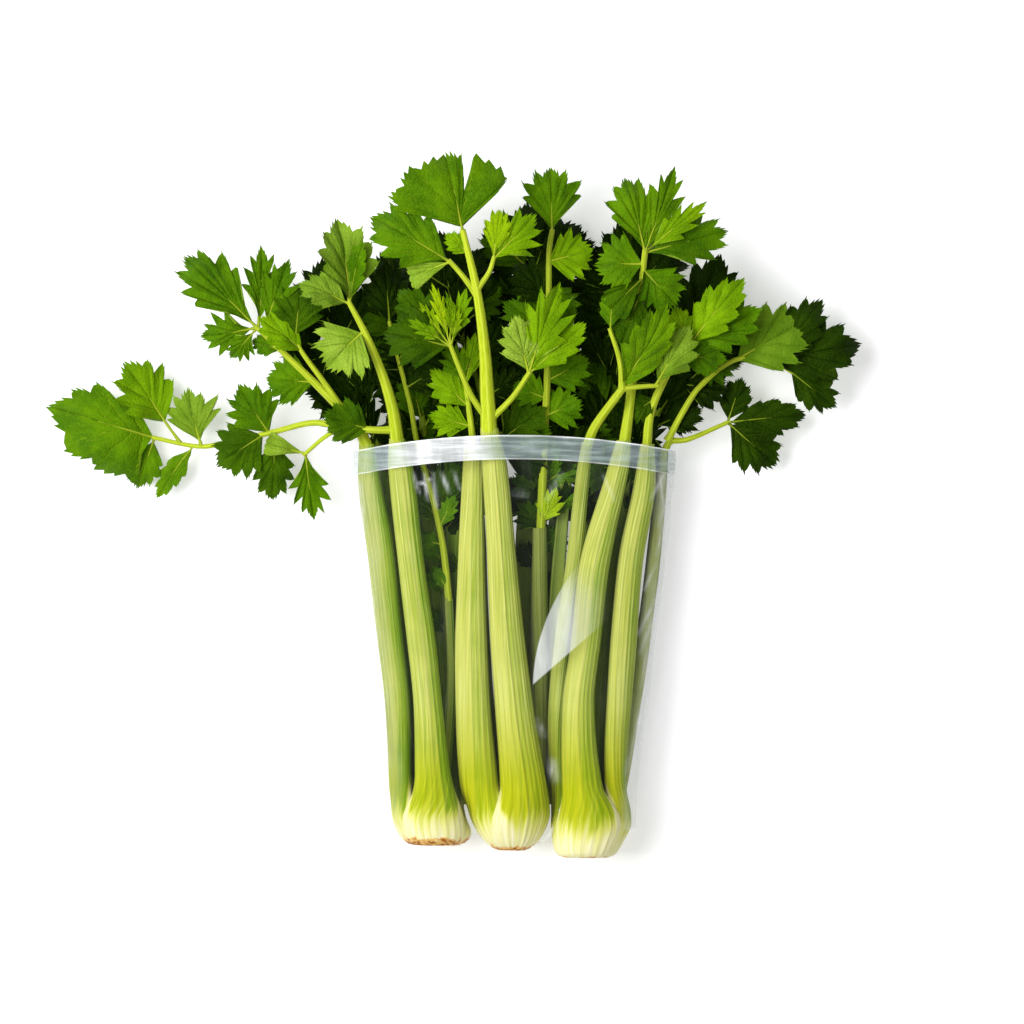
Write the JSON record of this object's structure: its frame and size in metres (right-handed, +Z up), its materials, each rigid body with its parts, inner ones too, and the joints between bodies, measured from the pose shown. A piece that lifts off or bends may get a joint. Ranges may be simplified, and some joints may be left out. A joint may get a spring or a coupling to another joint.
{
  "type": "bunched celery in a sleeve",
  "caption": "Leafy heads of celery lying side by side, held together by a clear tapered film sleeve that is open at both ends.",
  "frame": {"origin": "on the resting surface, under the middle of the bounding box", "axes": "+Z up from the resting surface, +Y from the butts towards the leaves, +X across the heads to the right as seen from above with the leaves away from the viewer"},
  "size_m": [0.4596, 0.401, 0.0859],
  "materials": {
    "stalk": "satin, ribbed plant skin",
    "butt": "satin, ribbed plant skin",
    "leaf": "soft sheen",
    "film": "clear glossy film"
  },
  "bodies": {
    "root": {"left_butt": "butt", "left_leaves_1": "leaf", "left_leaves_2": "leaf", "left_leaves_3": "leaf", "left_leaves_4": "leaf", "left_leaves_5": "leaf", "left_stalk_1": "stalk", "left_stalk_2": "stalk", "left_stalk_3": "stalk", "left_stalk_4": "stalk", "left_stalk_5": "stalk", "middle_butt": "butt", "middle_leaves_1": "leaf", "middle_leaves_2": "leaf", "middle_leaves_3": "leaf", "middle_leaves_4": "leaf", "middle_leaves_5": "leaf", "middle_leaves_6": "leaf", "middle_stalk_1": "stalk", "middle_stalk_2": "stalk", "middle_stalk_3": "stalk", "middle_stalk_4": "stalk", "middle_stalk_5": "stalk", "middle_stalk_6": "stalk", "right_butt": "butt", "right_leaves_1": "leaf", "right_leaves_2": "leaf", "right_leaves_3": "leaf", "right_leaves_4": "leaf", "right_leaves_5": "leaf", "right_leaves_6": "leaf", "right_stalk_1": "stalk", "right_stalk_2": "stalk", "right_stalk_3": "stalk", "right_stalk_4": "stalk", "right_stalk_5": "stalk", "right_stalk_6": "stalk", "sleeve": "film"}
  },
  "joints": []
}
